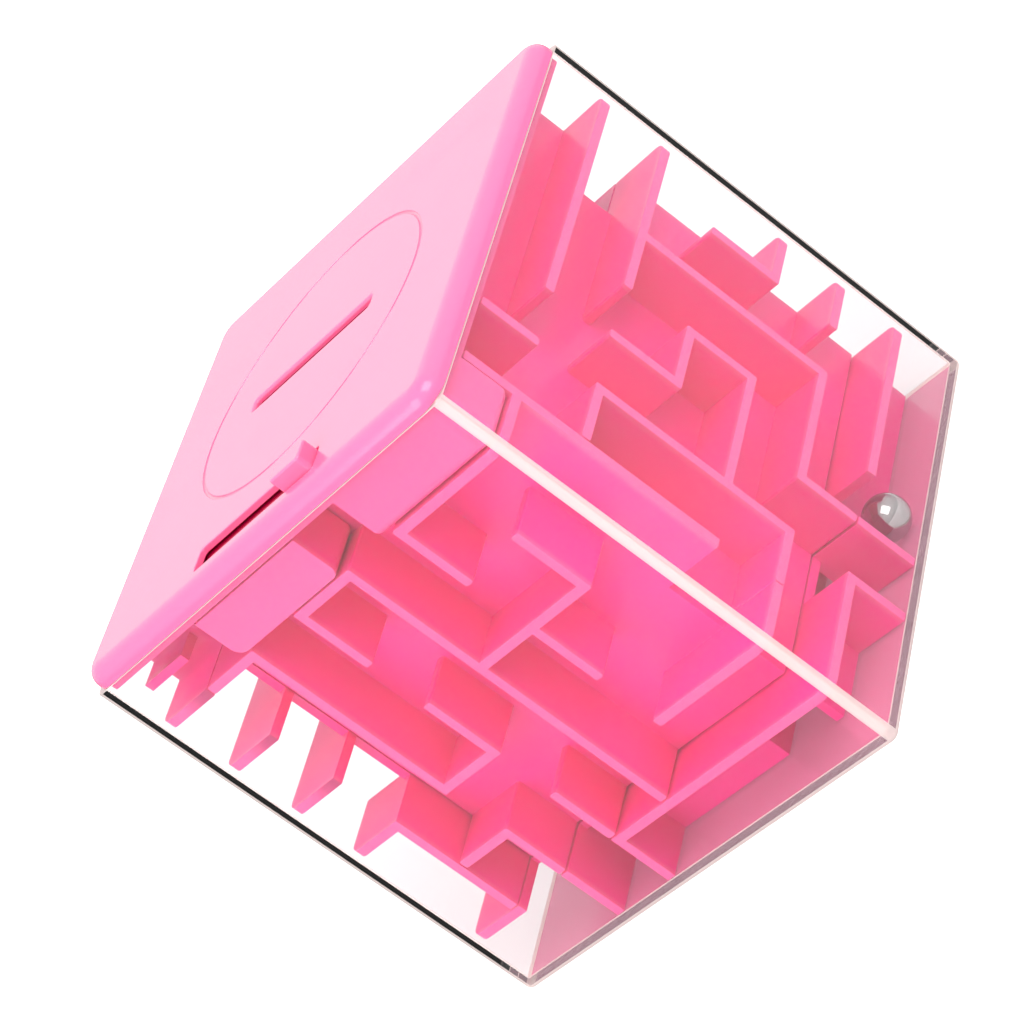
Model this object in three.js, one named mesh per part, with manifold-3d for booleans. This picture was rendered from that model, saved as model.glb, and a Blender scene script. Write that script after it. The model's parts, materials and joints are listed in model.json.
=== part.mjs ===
// A cube-shaped maze ball puzzle that doubles as a coin box.
//
// A clear open-topped case holds a square money box. The box is built from four
// side panels and a bottom panel, and the ribs moulded on their outer faces are
// the maze that a steel ball rolls through. A slotted lid closes the money box.
// Its latch knob slides a bolt block over a lug on the left panel to hold it shut.
//
// Millimetres, +Z up. The origin is the centre of the case's underside, the front
// face (the one with the latch at its top) looks along -Y, and +X is to the right.

import * as THREE from 'three';
import { mergeVertices } from 'three/addons/utils/BufferGeometryUtils.js';
import Module from 'manifold-3d';

const wasm = await Module();
wasm.setup();

// ---------------------------------------------------------------- sizes

const fitGap = 0.3; // clearance between pieces that seat on or pass each other

const caseWidth = 88;
const caseHeight = 86.5;
const caseWall = 1.6;
const caseCornerRadius = 1.5;
const caseBaseRadius = 1.0;
const caseInnerRadius = 0.4;

const ribThickness = 1.7; // maze ribs, and the plates they stand on
const shelfCornerRadius = 2.2; // shelves that turn a corner of the case
const channelDepth = 10.55; // case's inner face to the money box's outer face
const cellsPerFace = 5;
const floorRowHeight = 10.25; // clear height of the lowest channel, under the box
const topRowHeight = 9.05; // clear height of the highest channel, under the lid

const ballDiameter = 8;
const ballGap = 0.2; // ball to the case's floor and outer wall
const ballFromPost = 5.05; // ball's near side to the post that ends its channel

const coverThickness = 3.2;
const coverCornerRadius = 4.2;
const coverEdgeRadius = 2.8;
const coverSkin = 1.1; // what is left above the latch bar's recess
const baseThickness = 1.6; // the lid's under-frame, which plugs the case mouth
const baseCornerRadius = 1.6;
const rimThickness = 1.5; // locating rim that drops into the money box
const rimDrop = 3;

const coinSlotLength = 32.5;
const coinSlotWidth = 4.4;
const ringRadius = 26.9; // engraved circle round the coin slot
const ringWidth = 0.5;
const ringDepth = 0.35;

const cornerBlockLength = 26.2; // fixed block under the lid's right front corner
const gateWidth = 10.5; // opening between the fixed block and the bolt block
const boltBlockLength = 25.6;
const blockCornerRadius = 1.6;
const boltCornerRadius = 2.2;

const latchInset = 6.8; // latch centre line, in from the front face
const latchSlotWidth = 5.2;
const latchSlotRunOut = 1.6; // slot left over when the bolt meets the case
const knobLength = 7.3;
const knobHeight = 2.6; // knob's top above the lid
const barThickness = 1.5;
const barOverlap = 1.6; // bar past the sides and ends of the slot
const neckInset = 4.4; // neck's left end, in from the bolt block's
const neckWidth = 5.4;

const lugThickness = 1.6;
const lugReach = 5.2;
const lugHeight = 3.4; // lug's underside above the channel floor

const screwShankDiameter = 2.2;
const screwHeadDiameter = 4.2;
const screwHeadHeight = 1.4;
const screwRecessWidth = 0.7;
const screwRecessDepth = 0.8;
const lidScrewLength = 3.6;
const lidScrewInset = 6; // lid screw axis, in from the money box's inner face
const latchScrewLength = 7.2;
const latchScrewCover = 0.4; // bar left above the latch screws' holes
const latchScrewWall = 0.8; // least wall round the latch screws' bores

const arcSteps = 6;
const roundSteps = 24;
const ringSteps = 72;
const ballSteps = 36;
const coordinateStep = 1e-4; // coordinates are rounded to this, so that flush faces meet

// ---------------------------------------------------------------- places

const caseHalf = caseWidth / 2;
const innerHalf = caseHalf - caseWall;
const ribReach = innerHalf - fitGap; // outer ends of ribs and blocks
const boxHalf = innerHalf - channelDepth; // money box's outer faces
const boxInner = boxHalf - ribThickness;
const columnPitch = (2 * boxHalf - ribThickness) / cellsPerFace;

const coverUnder = caseHeight + fitGap;
const coverTop = coverUnder + coverThickness;
const baseTop = coverUnder - fitGap;
const baseUnder = baseTop - baseThickness;
const mazeTop = baseUnder - fitGap;
const mazeFoot = caseWall + fitGap;
const firstShelf = caseWall + floorRowHeight + ribThickness / 2;
const lastShelf = mazeTop - topRowHeight - ribThickness / 2;
const rowPitch = (lastShelf - firstShelf) / cellsPerFace;
const panelFoot = firstShelf + ribThickness / 2 + fitGap;
const panelStart = -boxInner + fitGap; // where a panel butts against its neighbour

const blockUnder = lastShelf + ribThickness / 2 + fitGap;
const blockBack = -boxHalf - fitGap;
const cornerBlockLeft = ribReach - cornerBlockLength;
const boltRight = cornerBlockLeft - gateWidth;
const boltLeft = boltRight - boltBlockLength;
const boltTop = baseUnder - fitGap;
const latchTravel = boltLeft + ribReach;
const latchY = -caseHalf + latchInset;
const knobRight = cornerBlockLeft;
const knobLeft = knobRight - knobLength;
const slotRight = knobRight + fitGap;
const slotLeft = knobLeft - latchTravel - latchSlotRunOut;
const barLeft = boltLeft + barOverlap;
const barRight = slotRight + barOverlap;
const barUnder = coverUnder + fitGap;
const barTop = barUnder + barThickness;
const barHalfWidth = latchSlotWidth / 2 + barOverlap;
const recessTop = coverTop - coverSkin;
const neckLeft = boltLeft + neckInset;
const neckTop = barUnder - fitGap;
const lugGrooveEnd = boltLeft + ribReach - boxHalf;
const lugUnder = lastShelf + ribThickness / 2 + lugHeight;

const lidScrewPlace = boxInner - lidScrewInset;
const latchBoreDiameter = screwHeadDiameter + 2 * fitGap;
const firstLatchScrew = lugGrooveEnd + latchScrewWall + latchBoreDiameter / 2;
const secondLatchScrew = firstLatchScrew + latchBoreDiameter + latchScrewWall;
const latchScrewPlaces = [firstLatchScrew, secondLatchScrew];
const neckRight = secondLatchScrew + screwShankDiameter / 2 + fitGap + latchScrewWall;
const latchHoleTop = barTop - latchScrewCover;
const latchScrewSeat = latchHoleTop - fitGap - latchScrewLength;

// ---------------------------------------------------------------- maze plan

// Upright lines 1..6 are the ribs' centre lines across a face, from its left as it
// is looked at; 0 and 7 are the case walls. Levels 1..6 are the shelves, from the
// floor up; 0 is the floor and 7 the lid. Each entry is [line, from, to].

const facePlans = {
  front_maze_panel: {
    uprights: [[2, 3, 6], [2, 1, 2], [3, 5, 6], [3, 3, 4], [3, 1, 2], [4, 1, 6], [5, 5, 6],
      [5, 3, 4], [6, 4, 5]],
    shelves: [[6, 1, 2], [6, 3, 4], [6, 5, 7], [4, 4, 6], [3, 2, 3], [2, 1, 2], [2, 5, 7]],
    cornerFins: [[3, 7]],
    floorPosts: [2, 3],
    floorShelves: [[3, 7]],
  },
  right_maze_panel: {
    uprights: [[2, 6, 7], [2, 2, 5], [3, 4, 5], [3, 1, 2], [4, 3, 4], [5, 2, 5], [6, 3, 4]],
    shelves: [[6, 3, 7], [5, 1, 2], [5, 4, 7], [4, 3, 4], [3, 2, 4], [3, 6, 7], [2, 1, 2],
      [2, 3, 5], [2, 6, 7]],
    cornerFins: [[1, 5], [6, 7]],
    floorPosts: [2, 3],
    floorShelves: [[1, 2], [4, 7]],
  },
  back_maze_panel: {
    uprights: [[2, 2, 3], [2, 5, 6], [3, 1, 2], [3, 3, 5], [4, 2, 4], [4, 6, 7], [5, 4, 6],
      [6, 1, 2], [6, 3, 4]],
    shelves: [[6, 2, 4], [6, 5, 7], [5, 1, 2], [5, 3, 5], [4, 2, 3], [4, 5, 6], [3, 5, 7],
      [2, 4, 6]],
    cornerFins: [[2, 4]],
    floorPosts: [1, 5],
    floorShelves: [[1, 3], [5, 7]],
  },
  left_maze_panel: {
    uprights: [[2, 1, 2], [2, 4, 6], [3, 2, 3], [3, 5, 6], [4, 3, 5], [5, 1, 3], [6, 6, 7]],
    shelves: [[6, 1, 2], [6, 4, 7], [5, 5, 7], [4, 2, 3], [4, 5, 7], [3, 3, 4], [3, 6, 7],
      [2, 1, 2], [2, 3, 5]],
    cornerFins: [[1, 3]],
    floorPosts: [4],
    floorShelves: [[2, 3], [4, 7]],
  },
};

// Ribs under the money box, on the same lines: [line, from, to].
const underRibsAcross = [[1, 3, 5], [2, 1, 2], [3, 2, 4], [4, 4, 5], [5, 1, 3], [6, 3, 5]];
const underRibsDeep = [[1, 3, 6], [2, 0, 3], [3, 4, 5], [4, 2, 3], [5, 1, 4], [6, 1, 2], [6, 3, 7]];

// ---------------------------------------------------------------- finishes

const finishes = {
  clear: { color: 0xf2f4f6, roughness: 0.06, metalness: 0, transparent: true, opacity: 0.22 },
  mazePink: { color: 0xff5f93, roughness: 0.34, metalness: 0 },
  lidPink: { color: 0xffbadb, roughness: 0.22, metalness: 0 },
  steel: { color: 0xc9ccd1, roughness: 0.12, metalness: 1 },
  screwSteel: { color: 0xa9abad, roughness: 0.35, metalness: 1 },
};

// ---------------------------------------------------------------- helpers

/** A closed geometry as a solid that can be cut and joined. */
function solid(geometry) {
  const bare = geometry.clone();
  bare.deleteAttribute('normal');
  bare.deleteAttribute('uv');
  const merged = mergeVertices(bare, coordinateStep);
  const onGrid = (value) => Math.round(value / coordinateStep) * coordinateStep;
  return new wasm.Manifold(new wasm.Mesh({
    numProp: 3,
    vertProperties: Float32Array.from(merged.attributes.position.array, onGrid),
    triVerts: new Uint32Array(merged.index.array),
  }));
}

/** A solid as a named mesh with its own material. */
function piece(name, body, finish) {
  const { vertProperties, triVerts } = body.getMesh();
  const geometry = new THREE.BufferGeometry();
  geometry.setAttribute('position', new THREE.BufferAttribute(vertProperties, 3));
  geometry.setIndex(new THREE.BufferAttribute(triVerts, 1));
  geometry.computeVertexNormals();
  const mesh = new THREE.Mesh(geometry, new THREE.MeshStandardMaterial(finishes[finish]));
  mesh.name = name;
  return mesh;
}

/** A box between two values on each axis. */
function slab([x0, x1], [y0, y1], [z0, z1]) {
  const geometry = new THREE.BoxGeometry(x1 - x0, y1 - y0, z1 - z0);
  geometry.translate((x0 + x1) / 2, (y0 + y1) / 2, (z0 + z1) / 2);
  return solid(geometry);
}

/** Every solid of a list joined into one. */
function joined(bodies) {
  return bodies.reduce((whole, body) => whole.add(body));
}

/** A solid with every solid of a list cut away. */
function cut(body, tools) {
  return tools.reduce((rest, tool) => rest.subtract(tool), body);
}

/** A rectangle whose corners have their own radii, anticlockwise from the lower left. */
function roundedOutline([x0, x1], [y0, y1], [lowLeft, lowRight, highRight, highLeft]) {
  const outline = new THREE.Shape();
  outline.moveTo(x0 + lowLeft, y0);
  outline.lineTo(x1 - lowRight, y0);
  if (lowRight > 0) outline.absarc(x1 - lowRight, y0 + lowRight, lowRight, -Math.PI / 2, 0);
  outline.lineTo(x1, y1 - highRight);
  if (highRight > 0) outline.absarc(x1 - highRight, y1 - highRight, highRight, 0, Math.PI / 2);
  outline.lineTo(x0 + highLeft, y1);
  if (highLeft > 0) outline.absarc(x0 + highLeft, y1 - highLeft, highLeft, Math.PI / 2, Math.PI);
  outline.lineTo(x0, y0 + lowLeft);
  if (lowLeft > 0) outline.absarc(x0 + lowLeft, y0 + lowLeft, lowLeft, Math.PI, 1.5 * Math.PI);
  return outline;
}

/** An upright prism on a rounded rectangle. */
function prism(xs, ys, radius, [z0, z1]) {
  const outline = roundedOutline(xs, ys, [radius, radius, radius, radius]);
  const geometry = new THREE.ExtrudeGeometry(outline, {
    depth: z1 - z0,
    bevelEnabled: false,
    curveSegments: arcSteps,
  });
  geometry.translate(0, 0, z0);
  return solid(geometry);
}

/** A block drawn on its front (X by Z) and run back along Y. */
function frontBlock(xs, [y0, y1], zs, radii) {
  const geometry = new THREE.ExtrudeGeometry(roundedOutline(xs, zs, radii), {
    depth: y1 - y0,
    bevelEnabled: false,
    curveSegments: arcSteps,
  });
  geometry.rotateX(Math.PI / 2);
  geometry.translate(0, y1, 0);
  return solid(geometry);
}

/** A square block whose edges are rounded over, top and bottom. */
function pillow(half, cornerRadius, edgeRadius, [z0, z1]) {
  const flat = half - edgeRadius;
  const radius = cornerRadius - edgeRadius;
  const outline = roundedOutline([-flat, flat], [-flat, flat], [radius, radius, radius, radius]);
  const geometry = new THREE.ExtrudeGeometry(outline, {
    depth: z1 - z0 - 2 * edgeRadius,
    bevelThickness: edgeRadius,
    bevelSize: edgeRadius,
    bevelSegments: arcSteps,
    curveSegments: arcSteps,
  });
  geometry.translate(0, 0, z0 + edgeRadius);
  return solid(geometry);
}

/** A rod that stands at x, y. */
function rod(x, y, diameter, [z0, z1]) {
  const geometry = new THREE.CylinderGeometry(diameter / 2, diameter / 2, z1 - z0, roundSteps);
  geometry.rotateX(Math.PI / 2);
  geometry.translate(x, y, (z0 + z1) / 2);
  return solid(geometry);
}

/** Where an upright line crosses a face; its first and last are the ribs' outer ends. */
function line(index) {
  if (index === 0) return -ribReach;
  if (index === cellsPerFace + 2) return ribReach;
  return (index - 1 - cellsPerFace / 2) * columnPitch;
}

/** Height of a level; its last is the ribs' top ends. */
function level(index) {
  if (index === 0) return mazeFoot;
  if (index === cellsPerFace + 2) return mazeTop;
  return firstShelf + (index - 1) * rowPitch;
}

/** The span from one line to another, out to the far sides of the ribs on them. */
function span(place, from, to, least = -Infinity) {
  const half = ribThickness / 2;
  const start = from === 0 ? place(from) : place(from) - half;
  const end = to === cellsPerFace + 2 ? place(to) : place(to) + half;
  return [Math.max(start, least), end];
}

// ---------------------------------------------------------------- case and maze

function clearCase() {
  const lump = pillow(caseHalf, caseCornerRadius, caseBaseRadius,
    [0, caseHeight + 2 * caseBaseRadius]);
  const keep = slab([-caseHalf, caseHalf], [-caseHalf, caseHalf], [0, caseHeight]);
  const hollow = prism([-innerHalf, innerHalf], [-innerHalf, innerHalf], caseInnerRadius,
    [caseWall, caseHeight + caseWall]);
  return lump.intersect(keep).subtract(hollow);
}

/** The room inside the case that ribs and blocks may fill, rounded at its corners. */
function ribRoom() {
  return prism([-ribReach, ribReach], [-ribReach, ribReach], shelfCornerRadius,
    [mazeFoot - 1, baseTop + 1]);
}

/** One side of the money box, as it stands at the front: plate, ribs and corner fins. */
function sidePanel({ uprights, shelves, cornerFins }) {
  const plate = slab([panelStart, boxHalf], [-boxHalf, -boxInner], [panelFoot, mazeTop]);
  const ribs = [-ribReach, -boxInner];
  const bodies = [plate];
  for (const [at, from, to] of uprights) {
    const across = [line(at) - ribThickness / 2, line(at) + ribThickness / 2];
    bodies.push(slab(across, ribs, span(level, from, to, panelFoot)));
  }
  for (const [at, from, to] of shelves) {
    const height = [level(at) - ribThickness / 2, level(at) + ribThickness / 2];
    bodies.push(slab(span(line, from, to, panelStart), ribs, height));
  }
  for (const [from, to] of cornerFins) {
    bodies.push(slab([boxInner, ribReach], [-boxHalf, -boxInner], span(level, from, to, panelFoot)));
  }
  return joined(bodies).intersect(ribRoom());
}

/** The lug on the left panel's front rib that the bolt block runs over. */
function boltLug() {
  return slab([boxInner, boxHalf + lugReach], [-ribReach, -boxHalf - fitGap],
    [lugUnder, lugUnder + lugThickness]);
}

/** The money box's floor, its shelf round the sides, and the maze's lowest ribs. */
function bottomPanel() {
  const height = [firstShelf - ribThickness / 2, firstShelf + ribThickness / 2];
  const drop = [mazeFoot, firstShelf];
  const bodies = [slab([-boxHalf, boxHalf], [-boxHalf, boxHalf], height)];
  Object.values(facePlans).forEach(({ floorPosts, floorShelves }, turn) => {
    const local = [];
    for (const [from, to] of floorShelves) {
      local.push(slab(span(line, from, to), [-ribReach, -boxInner], height));
    }
    for (const at of floorPosts) {
      const across = [line(at) - ribThickness / 2, line(at) + ribThickness / 2];
      local.push(slab(across, [-ribReach, -boxInner], [mazeFoot, height[1]]));
    }
    bodies.push(...local.map((body) => body.rotate([0, 0, 90 * turn])));
  });
  for (const [at, from, to] of underRibsAcross) {
    bodies.push(slab(span(line, from, to), [line(at) - ribThickness / 2, line(at) + ribThickness / 2],
      drop));
  }
  for (const [at, from, to] of underRibsDeep) {
    bodies.push(slab([line(at) - ribThickness / 2, line(at) + ribThickness / 2], span(line, from, to),
      drop));
  }
  return joined(bodies).intersect(ribRoom());
}

function steelBall() {
  const radius = ballDiameter / 2;
  const post = line(3) + ribThickness / 2;
  const geometry = new THREE.SphereGeometry(radius, ballSteps, ballSteps / 2);
  geometry.translate(innerHalf - ballGap - radius, post + ballFromPost + radius,
    caseWall + ballGap + radius);
  return solid(geometry);
}

// ---------------------------------------------------------------- lid and latch

/** The hole for coins, through whatever lies between two heights. */
function coinSlot(heights) {
  const halfLength = coinSlotLength / 2;
  const halfWidth = coinSlotWidth / 2;
  return prism([-halfLength, halfLength], [-halfWidth, halfWidth], 0.4, heights);
}

function lidScrewPlaces() {
  return [[1, 1], [-1, 1], [-1, -1], [1, -1]].map(([x, y]) => [x * lidScrewPlace, y * lidScrewPlace]);
}

/** The engraved circle, as the ring that is cut away. */
function engravedRing() {
  const inner = ringRadius - ringWidth / 2;
  const outer = ringRadius + ringWidth / 2;
  const profile = [[inner, coverTop - ringDepth], [outer, coverTop - ringDepth],
    [outer, coverTop + ringDepth], [inner, coverTop + ringDepth], [inner, coverTop - ringDepth]];
  const geometry = new THREE.LatheGeometry(profile.map(([r, z]) => new THREE.Vector2(r, z)), ringSteps);
  geometry.rotateX(Math.PI / 2);
  return solid(geometry);
}

function lidCover() {
  const lump = pillow(caseHalf, coverCornerRadius, coverEdgeRadius,
    [coverTop - 4 * coverEdgeRadius, coverTop]);
  const keep = slab([-caseHalf, caseHalf], [-caseHalf, caseHalf], [coverUnder, coverTop]);
  const recess = slab([barLeft - latchTravel - fitGap, barRight + fitGap],
    [latchY - barHalfWidth - fitGap, latchY + barHalfWidth + fitGap], [coverUnder - 1, recessTop]);
  const slot = prism([slotLeft, slotRight],
    [latchY - latchSlotWidth / 2, latchY + latchSlotWidth / 2], 0.5, [coverUnder, coverTop + 1]);
  const screwTop = baseUnder + lidScrewLength + fitGap;
  const pilots = lidScrewPlaces().map(([x, y]) => rod(x, y, screwShankDiameter + 2 * fitGap,
    [coverUnder - 1, screwTop]));
  return cut(lump.intersect(keep), [recess, slot, coinSlot([coverUnder - 1, coverTop + 1]),
    engravedRing(), ...pilots]);
}

/** The fixed block that closes the top channel's corner, its lower edges rounded. */
function cornerBlock() {
  const heights = [blockUnder, baseTop];
  const radii = [blockCornerRadius, blockCornerRadius, 0, 0];
  const front = frontBlock([cornerBlockLeft, ribReach], [-ribReach, blockBack], heights, radii);
  const side = frontBlock([-ribReach, blockBack], [-ribReach, -cornerBlockLeft], heights, radii)
    .rotate([0, 0, 90]);
  return front.intersect(side).intersect(ribRoom());
}

/** The lid's under-frame, with its locating rim and the fixed corner block. */
function lidBase() {
  const plate = prism([-ribReach, ribReach], [-ribReach, ribReach], baseCornerRadius,
    [baseUnder, baseTop]);
  const rimHalf = boxInner - fitGap;
  const rimInner = rimHalf - rimThickness;
  const rim = slab([-rimHalf, rimHalf], [-rimHalf, rimHalf], [baseUnder - rimDrop, baseTop])
    .subtract(slab([-rimInner, rimInner], [-rimInner, rimInner],
      [baseUnder - rimDrop - 1, baseUnder]));
  const neckSlot = slab([neckLeft - latchTravel - fitGap, neckRight + fitGap],
    [latchY - neckWidth / 2 - fitGap, latchY + neckWidth / 2 + fitGap],
    [baseUnder - 1, baseTop + 1]);
  const holes = lidScrewPlaces().map(([x, y]) => rod(x, y, screwShankDiameter + 2 * fitGap,
    [baseUnder - 1, baseTop + 1]));
  return cut(joined([plate, rim, cornerBlock()]), [neckSlot, coinSlot([baseUnder - 1, baseTop + 1]), ...holes]);
}

/** The sliding knob and the flat bar under the lid's skin that carries it. */
function latchKnob() {
  const bar = slab([barLeft, barRight], [latchY - barHalfWidth, latchY + barHalfWidth],
    [barUnder, barTop]);
  const halfWidth = latchSlotWidth / 2 - fitGap;
  const knob = prism([knobLeft, knobRight], [latchY - halfWidth, latchY + halfWidth], 0.8,
    [barUnder, coverTop + knobHeight]);
  const pilots = latchScrewPlaces.map((x) => rod(x, latchY, screwShankDiameter + 2 * fitGap,
    [barUnder - 1, latchHoleTop]));
  return cut(joined([bar, knob]), pilots);
}

/** The block that the latch slides along the front channel, with its neck and groove. */
function latchBolt() {
  const block = frontBlock([boltLeft, boltRight], [-ribReach, blockBack], [blockUnder, boltTop],
    [boltCornerRadius, blockCornerRadius, 0, 0]);
  const neck = slab([neckLeft, neckRight], [latchY - neckWidth / 2, latchY + neckWidth / 2],
    [blockUnder + boltCornerRadius, neckTop]);
  const groove = slab([boltLeft - 1, lugGrooveEnd],
    [-boxHalf - lugReach - fitGap, blockBack + 1],
    [lugUnder - fitGap, lugUnder + lugThickness + fitGap]);
  const bores = latchScrewPlaces.flatMap((x) => [
    rod(x, latchY, screwShankDiameter + 2 * fitGap, [blockUnder - 1, neckTop + 1]),
    rod(x, latchY, latchBoreDiameter, [blockUnder - 1, latchScrewSeat]),
  ]);
  return cut(joined([block, neck]), [groove, ...bores]);
}

/** A round-headed cross-recess screw, head down, whose head bears at its seat height. */
function screw(x, y, seat, length) {
  const head = screwHeadDiameter / 2;
  const shank = screwShankDiameter / 2;
  const chamfer = 0.4;
  const profile = [[0, -screwHeadHeight], [head - chamfer, -screwHeadHeight],
    [head, chamfer - screwHeadHeight], [head, 0], [shank, 0], [shank, length - shank], [0, length]];
  const geometry = new THREE.LatheGeometry(profile.map(([r, z]) => new THREE.Vector2(r, z)), roundSteps);
  geometry.rotateX(Math.PI / 2);
  const half = screwRecessWidth / 2;
  const arm = head - 2 * chamfer;
  const depth = [-screwHeadHeight - 1, screwRecessDepth - screwHeadHeight];
  const body = cut(solid(geometry), [slab([-arm, arm], [-half, half], depth),
    slab([-half, half], [-arm, arm], depth)]);
  return body.translate([x, y, seat]);
}

// ---------------------------------------------------------------- assembly

const root = new THREE.Group();
root.add(piece('clear_case', clearCase(), 'clear'));

Object.entries(facePlans).forEach(([name, plan], turn) => {
  const panel = sidePanel(plan);
  const body = name === 'left_maze_panel' ? panel.add(boltLug()) : panel;
  const side = new THREE.Group();
  side.rotation.z = turn * Math.PI / 2;
  side.add(piece(name, body, 'mazePink'));
  root.add(side);
});
root.add(piece('bottom_maze_panel', bottomPanel(), 'mazePink'));
root.add(piece('steel_ball', steelBall(), 'steel'));

root.add(piece('lid_cover', lidCover(), 'lidPink'));
root.add(piece('lid_base', lidBase(), 'mazePink'));
lidScrewPlaces().forEach(([x, y], index) => {
  root.add(piece(`lid_screw_${index + 1}`, screw(x, y, baseUnder - fitGap, lidScrewLength),
    'screwSteel'));
});

root.add(piece('latch_knob', latchKnob(), 'lidPink'));
root.add(piece('latch_bolt', latchBolt(), 'mazePink'));
latchScrewPlaces.forEach((x, index) => {
  root.add(piece(`latch_screw_${index + 1}`, screw(x, latchY, latchScrewSeat - fitGap,
    latchScrewLength), 'screwSteel'));
});

export default root;
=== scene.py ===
"""Looks for a cube-shaped ball maze money box.

A clear case holds a ribbed pink money box, a slotted lid with a sliding latch and a
steel ball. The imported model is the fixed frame; the pieces here stand for its nodes.
"""

from __future__ import annotations

import json
import logging
import math
from collections.abc import Callable
from dataclasses import dataclass, field
from enum import Enum

import bmesh
import bpy
from mathutils import Matrix, Vector

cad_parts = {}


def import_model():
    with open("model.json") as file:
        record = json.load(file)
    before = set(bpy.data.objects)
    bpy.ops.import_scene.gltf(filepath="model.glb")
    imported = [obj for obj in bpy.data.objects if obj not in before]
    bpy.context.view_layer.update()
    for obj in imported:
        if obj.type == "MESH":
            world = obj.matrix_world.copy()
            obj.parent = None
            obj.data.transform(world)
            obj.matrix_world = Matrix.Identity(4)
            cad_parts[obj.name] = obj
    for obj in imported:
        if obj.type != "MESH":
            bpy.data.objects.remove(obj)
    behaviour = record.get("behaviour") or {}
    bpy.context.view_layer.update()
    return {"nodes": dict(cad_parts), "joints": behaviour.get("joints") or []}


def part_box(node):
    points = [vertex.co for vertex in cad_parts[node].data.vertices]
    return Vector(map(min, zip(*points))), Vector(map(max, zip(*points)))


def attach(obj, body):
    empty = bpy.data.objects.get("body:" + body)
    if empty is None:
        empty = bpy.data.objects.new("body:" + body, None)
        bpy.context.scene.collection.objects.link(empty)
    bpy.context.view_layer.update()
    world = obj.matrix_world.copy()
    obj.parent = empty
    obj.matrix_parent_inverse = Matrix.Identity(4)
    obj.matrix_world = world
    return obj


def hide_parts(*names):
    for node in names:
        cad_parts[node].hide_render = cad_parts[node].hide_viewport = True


log = logging.getLogger("maze_box")

MM = 0.001
SMOOTH_ANGLE = math.radians(38)
MERGE_DISTANCE = 0.002 * MM
FLAT_ANGLE = math.radians(1)
NEAR = 0.02 * MM
PARALLEL = 0.999
FLAT_WEIGHT = 100
UPRIGHT = Vector((0, 0, 1))
FIXING_EDGE = 0.08 * MM
WHITE = (1, 1, 1, 1)


class Body(Enum):
    """The moving bodies that pieces ride on."""

    CASE = "case"
    BALL = "ball"
    LID = "lid"
    LATCH = "latch"


class Slot(Enum):
    """The record's material slots."""

    CLEAR = "clear_plastic"
    MAZE = "maze_plastic"
    LID = "lid_plastic"
    BALL = "ball_steel"
    SCREW = "screw_steel"


# ---------------------------------------------------------------- modelling steps


def object_mode() -> None:
    """Leaves edit mode, if an object is in it."""
    if bpy.context.object is not None and bpy.context.object.mode != "OBJECT":
        bpy.ops.object.mode_set(mode="OBJECT")


def focus(obj: bpy.types.Object) -> None:
    """Makes one object the only one selected, and the active one.

    Args:
        obj: The object that the next operators act on.
    """
    object_mode()
    bpy.ops.object.select_all(action="DESELECT")
    obj.select_set(True)
    bpy.context.view_layer.objects.active = obj


def settle(obj: bpy.types.Object) -> None:
    """Moves an object's place, turn and scale into its mesh."""
    focus(obj)
    bpy.ops.object.transform_apply(location=True, rotation=True, scale=True)


def add_block(name: str, low: Vector, high: Vector) -> bpy.types.Object:
    """Adds a block between two corners.

    Args:
        name: The block's name.
        low: Its lowest corner, in metres.
        high: Its highest corner, in metres.

    Returns:
        The block, with its place in its mesh.
    """
    object_mode()
    bpy.ops.object.select_all(action="DESELECT")
    bpy.ops.mesh.primitive_cube_add(size=1, location=(low + high) / 2)
    block = bpy.context.object
    block.name = name
    block.data.name = name
    block.scale = high - low
    settle(block)
    return block


def bevel_edges(
    obj: bpy.types.Object,
    wanted: Callable[[bmesh.types.BMEdge], bool],
    width: float,
    segments: int,
) -> None:
    """Rounds over the edges that a test picks out.

    Args:
        obj: The object to shape.
        wanted: Says whether an edge is rounded.
        width: The radius, in metres.
        segments: Steps across the rounding.
    """
    focus(obj)
    bpy.ops.object.mode_set(mode="EDIT")
    bpy.ops.mesh.select_mode(type="EDGE")
    bpy.ops.mesh.select_all(action="DESELECT")
    shape = bmesh.from_edit_mesh(obj.data)
    for edge in shape.edges:
        if wanted(edge):
            edge.select_set(True)
    bmesh.update_edit_mesh(obj.data)
    bpy.ops.mesh.bevel(
        offset=width, segments=segments, affect="EDGES", clamp_overlap=True
    )
    bpy.ops.object.mode_set(mode="OBJECT")


def along(edge: bmesh.types.BMEdge, axis: Vector) -> bool:
    """Says whether an edge runs along an axis."""
    run = edge.verts[1].co - edge.verts[0].co
    return run.length > NEAR and abs(run.normalized().dot(axis)) > PARALLEL


def at_height(edge: bmesh.types.BMEdge, height: float) -> bool:
    """Says whether an edge lies at a height."""
    return all(abs(vert.co.z - height) < NEAR for vert in edge.verts)


def is_corner(edge: bmesh.types.BMEdge) -> bool:
    """Says whether the faces at an edge meet at a clear angle."""
    return len(edge.link_faces) == 2 and edge.calc_face_angle(0.0) > SMOOTH_ANGLE


def carve(obj: bpy.types.Object, cutter: bpy.types.Object) -> None:
    """Cuts one object out of another and removes the cutter.

    Args:
        obj: The object that is cut.
        cutter: What is taken out of it.
    """
    modifier = obj.modifiers.new("carve", "BOOLEAN")
    modifier.operation = "DIFFERENCE"
    modifier.solver = "EXACT"
    modifier.object = cutter
    focus(obj)
    bpy.ops.object.modifier_apply(modifier=modifier.name)
    bpy.data.objects.remove(cutter)


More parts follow.
